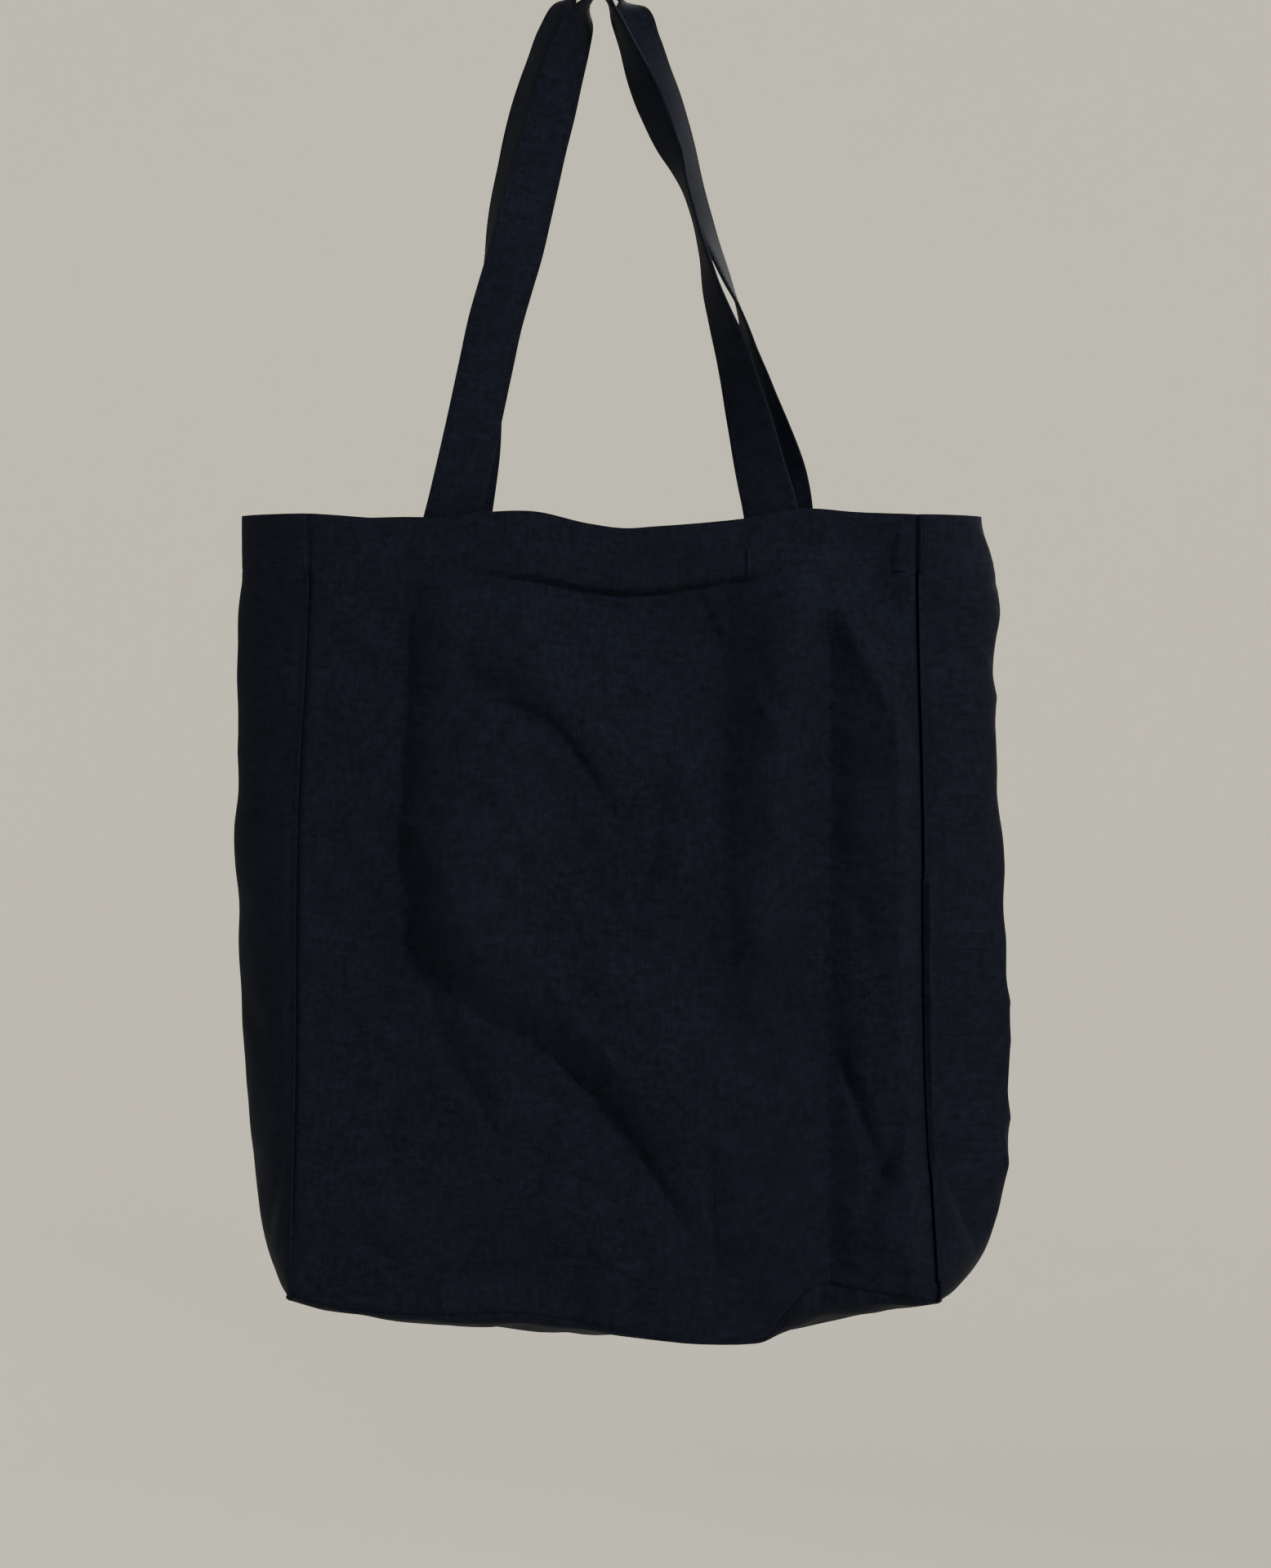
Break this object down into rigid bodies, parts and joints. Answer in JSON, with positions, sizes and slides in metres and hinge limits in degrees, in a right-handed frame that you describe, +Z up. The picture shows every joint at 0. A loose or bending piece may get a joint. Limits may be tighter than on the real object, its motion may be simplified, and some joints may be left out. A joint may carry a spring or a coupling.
{
  "type": "canvas tote bag",
  "caption": "Flat-bottomed dark canvas tote bag with folded side gussets and a hemmed rim, hung by both strap handles from one hook.",
  "frame": {"origin": "the seat on the hook: the lowest point of the inner handle's bend, where it rests on the hook", "axes": "+Z up, the way the handles pull on the hook; the bag's front faces -Y; +X is to the right of a person who looks at the front"},
  "size_m": [0.4291, 0.0994, 0.7492],
  "materials": {
    "canvas": "matt plain-weave cotton canvas",
    "strap_canvas": "matt plain-weave cotton canvas, folded to four layers",
    "thread": "spun polyester sewing thread, same colour as the cloth"
  },
  "bodies": {
    "bag": {"back_bottom_seam": "canvas", "back_hem": "canvas", "back_hem_stitching": "thread", "back_left_box_stitch": "thread", "back_left_seam": "canvas", "back_left_strap_end": "strap_canvas", "back_panel": "canvas", "back_right_box_stitch": "thread", "back_right_seam": "canvas", "back_right_strap_end": "strap_canvas", "bottom_panel": "canvas", "front_bottom_seam": "canvas", "front_hem": "canvas", "front_hem_stitching": "thread", "front_left_box_stitch": "thread", "front_left_seam": "canvas", "front_left_strap_end": "strap_canvas", "front_panel": "canvas", "front_right_box_stitch": "thread", "front_right_seam": "canvas", "front_right_strap_end": "strap_canvas", "left_bottom_seam": "canvas", "left_gusset": "canvas", "left_gusset_hem": "canvas", "left_hem_stitching": "thread", "right_bottom_seam": "canvas", "right_gusset": "canvas", "right_gusset_hem": "canvas", "right_hem_stitching": "thread"},
    "front_handle": {"front_handle_strap": "strap_canvas", "front_handle_stitching": "thread"},
    "back_handle": {"back_handle_strap": "strap_canvas", "back_handle_stitching": "thread"}
  },
  "joints": [
    {"name": "front_handle_swing", "type": "hinge", "parent": "bag", "child": "front_handle", "pos_m": [0, -0.0335, -0.286], "axis": [1, 0, 0], "range_deg": [0, 140]},
    {"name": "back_handle_swing", "type": "hinge", "parent": "bag", "child": "back_handle", "pos_m": [0, 0.0335, -0.286], "axis": [-1, 0, 0], "range_deg": [0, 140]}
  ]
}
